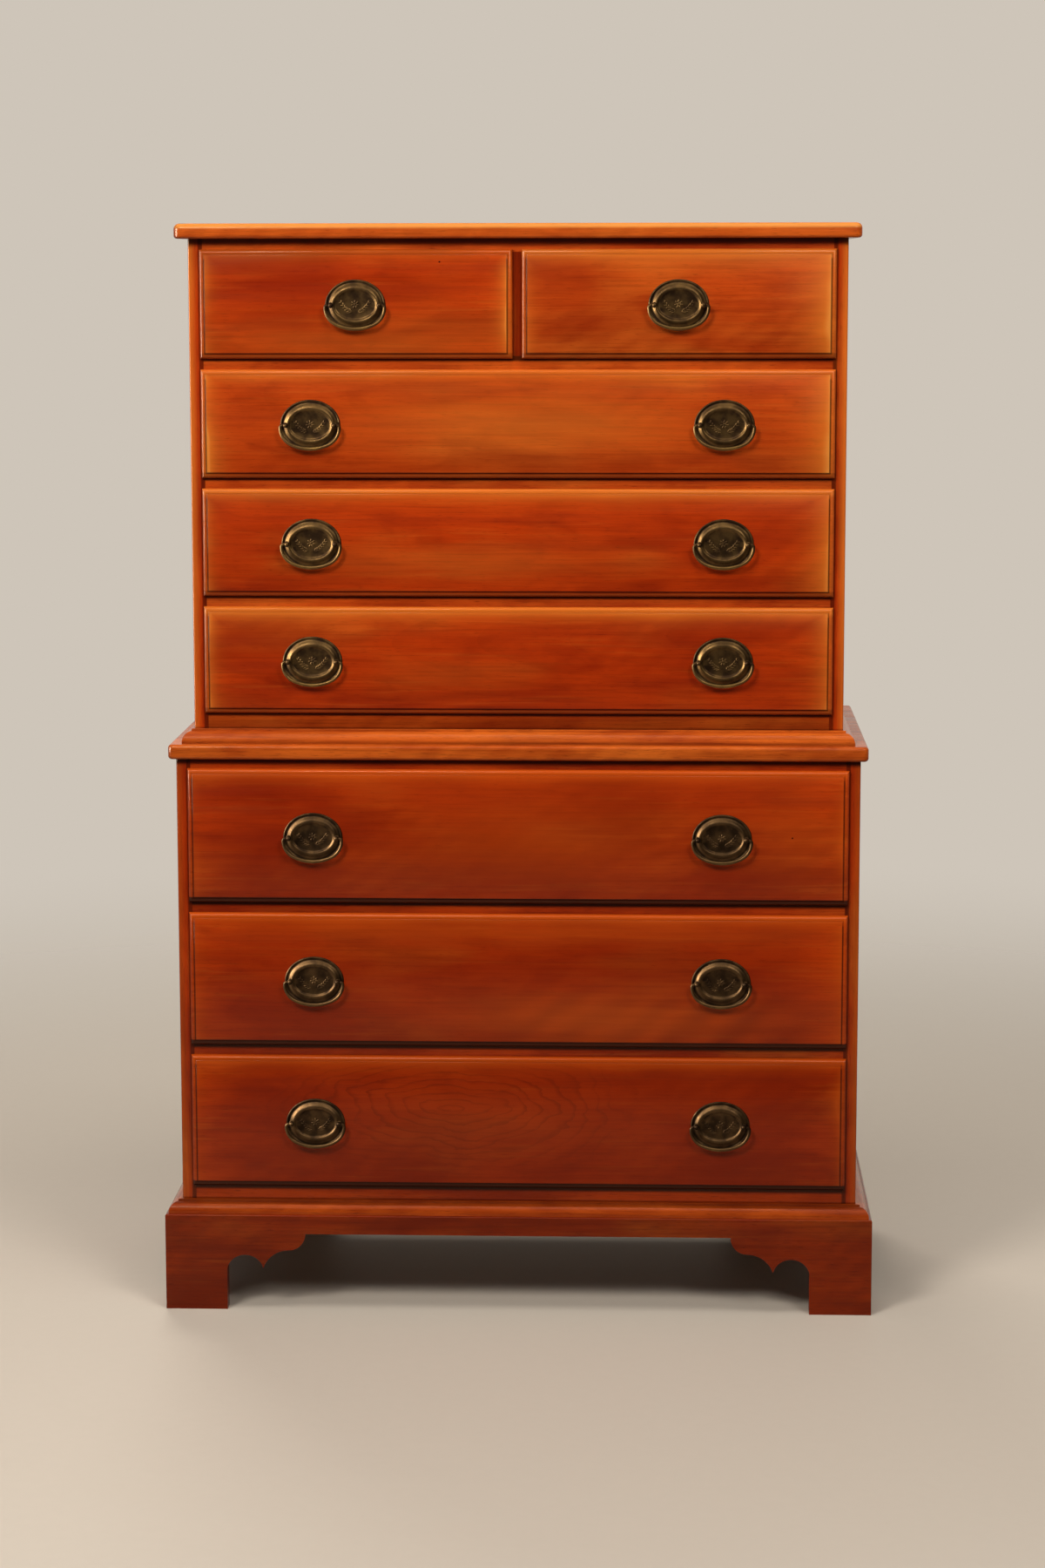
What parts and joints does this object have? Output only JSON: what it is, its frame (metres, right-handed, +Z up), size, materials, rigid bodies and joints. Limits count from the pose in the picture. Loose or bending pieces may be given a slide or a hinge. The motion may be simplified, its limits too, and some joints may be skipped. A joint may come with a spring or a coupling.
{
  "type": "chest on chest",
  "caption": "Tall chest of drawers in two stacked cases on scrolled bracket feet, with lipped sliding drawers and swinging bail pulls on oval plates.",
  "frame": {"origin": "on the floor, under the middle of the whole object's bounding box", "axes": "+Z up, the front with its drawers faces -Y, +X to the right of someone who faces the front"},
  "size_m": [0.914, 0.4512, 1.3949],
  "materials": {
    "cherry_case": "glossy reddish cherry stain, upright grain",
    "cherry_drawer_front": "glossy reddish cherry stain, level figured grain",
    "drawer_wood": "pale satin drawer wood",
    "back_panel_wood": "plain stained panel",
    "antique_brass": "antique brass, dark in the hollows"
  },
  "bodies": {
    "case": {"lower_right_side": "cherry_case", "lower_left_side": "cherry_case", "lower_drawer_rails": "cherry_case", "lower_runners": "drawer_wood", "lower_bottom_panel": "drawer_wood", "lower_back_panel": "back_panel_wood", "upper_right_side": "cherry_case", "upper_left_side": "cherry_case", "upper_drawer_rails": "cherry_case", "upper_runners": "drawer_wood", "upper_bottom_panel": "drawer_wood", "upper_back_panel": "back_panel_wood", "top_drawer_partition": "cherry_case", "waist_board": "cherry_case", "top_board": "cherry_case", "base_moulding": "cherry_case", "waist_moulding": "cherry_case", "front_bracket_base": "cherry_case", "right_bracket_base": "cherry_case", "left_bracket_base": "cherry_case", "rear_bracket_braces": "drawer_wood", "foot_glue_blocks": "drawer_wood"},
    "top_left_drawer": {"top_left_drawer_front": "cherry_drawer_front", "top_left_drawer_box": "drawer_wood", "top_left_pull_hardware": "antique_brass"},
    "top_left_bail": {"top_left_bail": "antique_brass"},
    "top_right_drawer": {"top_right_drawer_front": "cherry_drawer_front", "top_right_drawer_box": "drawer_wood", "top_right_pull_hardware": "antique_brass"},
    "top_right_bail": {"top_right_bail": "antique_brass"},
    "upper_first_drawer": {"upper_first_drawer_front": "cherry_drawer_front", "upper_first_drawer_box": "drawer_wood", "upper_first_pull_hardware": "antique_brass"},
    "upper_first_bail_left": {"upper_first_bail_left": "antique_brass"},
    "upper_first_bail_right": {"upper_first_bail_right": "antique_brass"},
    "upper_second_drawer": {"upper_second_drawer_front": "cherry_drawer_front", "upper_second_drawer_box": "drawer_wood", "upper_second_pull_hardware": "antique_brass"},
    "upper_second_bail_left": {"upper_second_bail_left": "antique_brass"},
    "upper_second_bail_right": {"upper_second_bail_right": "antique_brass"},
    "upper_third_drawer": {"upper_third_drawer_front": "cherry_drawer_front", "upper_third_drawer_box": "drawer_wood", "upper_third_pull_hardware": "antique_brass"},
    "upper_third_bail_left": {"upper_third_bail_left": "antique_brass"},
    "upper_third_bail_right": {"upper_third_bail_right": "antique_brass"},
    "lower_first_drawer": {"lower_first_drawer_front": "cherry_drawer_front", "lower_first_drawer_box": "drawer_wood", "lower_first_pull_hardware": "antique_brass"},
    "lower_first_bail_left": {"lower_first_bail_left": "antique_brass"},
    "lower_first_bail_right": {"lower_first_bail_right": "antique_brass"},
    "lower_second_drawer": {"lower_second_drawer_front": "cherry_drawer_front", "lower_second_drawer_box": "drawer_wood", "lower_second_pull_hardware": "antique_brass"},
    "lower_second_bail_left": {"lower_second_bail_left": "antique_brass"},
    "lower_second_bail_right": {"lower_second_bail_right": "antique_brass"},
    "lower_third_drawer": {"lower_third_drawer_front": "cherry_drawer_front", "lower_third_drawer_box": "drawer_wood", "lower_third_pull_hardware": "antique_brass"},
    "lower_third_bail_left": {"lower_third_bail_left": "antique_brass"},
    "lower_third_bail_right": {"lower_third_bail_right": "antique_brass"}
  },
  "joints": [
    {"name": "top_left_drawer_slide", "type": "slide", "parent": "case", "child": "top_left_drawer", "axis": [0, -1, 0], "range_m": [0, 0.3]},
    {"name": "top_left_bail_swing", "type": "hinge", "parent": "top_left_drawer", "child": "top_left_bail", "pos_m": [-0.20285, -0.20405, 1.29315], "axis": [-1, 0, 0], "range_deg": [0, 175]},
    {"name": "top_right_drawer_slide", "type": "slide", "parent": "case", "child": "top_right_drawer", "axis": [0, -1, 0], "range_m": [0, 0.3]},
    {"name": "top_right_bail_swing", "type": "hinge", "parent": "top_right_drawer", "child": "top_right_bail", "pos_m": [0.20285, -0.20405, 1.29315], "axis": [-1, 0, 0], "range_deg": [0, 175]},
    {"name": "upper_first_drawer_slide", "type": "slide", "parent": "case", "child": "upper_first_drawer", "axis": [0, -1, 0], "range_m": [0, 0.3]},
    {"name": "upper_first_bail_left_swing", "type": "hinge", "parent": "upper_first_drawer", "child": "upper_first_bail_left", "pos_m": [-0.261, -0.20405, 1.14325], "axis": [-1, 0, 0], "range_deg": [0, 175]},
    {"name": "upper_first_bail_right_swing", "type": "hinge", "parent": "upper_first_drawer", "child": "upper_first_bail_right", "pos_m": [0.261, -0.20405, 1.14325], "axis": [-1, 0, 0], "range_deg": [0, 175]},
    {"name": "upper_second_drawer_slide", "type": "slide", "parent": "case", "child": "upper_second_drawer", "axis": [0, -1, 0], "range_m": [0, 0.3]},
    {"name": "upper_second_bail_left_swing", "type": "hinge", "parent": "upper_second_drawer", "child": "upper_second_bail_left", "pos_m": [-0.261, -0.20405, 0.99335], "axis": [-1, 0, 0], "range_deg": [0, 175]},
    {"name": "upper_second_bail_right_swing", "type": "hinge", "parent": "upper_second_drawer", "child": "upper_second_bail_right", "pos_m": [0.261, -0.20405, 0.99335], "axis": [-1, 0, 0], "range_deg": [0, 175]},
    {"name": "upper_third_drawer_slide", "type": "slide", "parent": "case", "child": "upper_third_drawer", "axis": [0, -1, 0], "range_m": [0, 0.3]},
    {"name": "upper_third_bail_left_swing", "type": "hinge", "parent": "upper_third_drawer", "child": "upper_third_bail_left", "pos_m": [-0.261, -0.20405, 0.84345], "axis": [-1, 0, 0], "range_deg": [0, 175]},
    {"name": "upper_third_bail_right_swing", "type": "hinge", "parent": "upper_third_drawer", "child": "upper_third_bail_right", "pos_m": [0.261, -0.20405, 0.84345], "axis": [-1, 0, 0], "range_deg": [0, 175]},
    {"name": "lower_first_drawer_slide", "type": "slide", "parent": "case", "child": "lower_first_drawer", "axis": [0, -1, 0], "range_m": [0, 0.32]},
    {"name": "lower_first_bail_left_swing", "type": "hinge", "parent": "lower_first_drawer", "child": "lower_first_bail_left", "pos_m": [-0.261, -0.22255, 0.6194], "axis": [-1, 0, 0], "range_deg": [0, 175]},
    {"name": "lower_first_bail_right_swing", "type": "hinge", "parent": "lower_first_drawer", "child": "lower_first_bail_right", "pos_m": [0.261, -0.22255, 0.6194], "axis": [-1, 0, 0], "range_deg": [0, 175]},
    {"name": "lower_second_drawer_slide", "type": "slide", "parent": "case", "child": "lower_second_drawer", "axis": [0, -1, 0], "range_m": [0, 0.32]},
    {"name": "lower_second_bail_left_swing", "type": "hinge", "parent": "lower_second_drawer", "child": "lower_second_bail_left", "pos_m": [-0.261, -0.22255, 0.4328], "axis": [-1, 0, 0], "range_deg": [0, 175]},
    {"name": "lower_second_bail_right_swing", "type": "hinge", "parent": "lower_second_drawer", "child": "lower_second_bail_right", "pos_m": [0.261, -0.22255, 0.4328], "axis": [-1, 0, 0], "range_deg": [0, 175]},
    {"name": "lower_third_drawer_slide", "type": "slide", "parent": "case", "child": "lower_third_drawer", "axis": [0, -1, 0], "range_m": [0, 0.32]},
    {"name": "lower_third_bail_left_swing", "type": "hinge", "parent": "lower_third_drawer", "child": "lower_third_bail_left", "pos_m": [-0.261, -0.22255, 0.2462], "axis": [-1, 0, 0], "range_deg": [0, 175]},
    {"name": "lower_third_bail_right_swing", "type": "hinge", "parent": "lower_third_drawer", "child": "lower_third_bail_right", "pos_m": [0.261, -0.22255, 0.2462], "axis": [-1, 0, 0], "range_deg": [0, 175]}
  ]
}
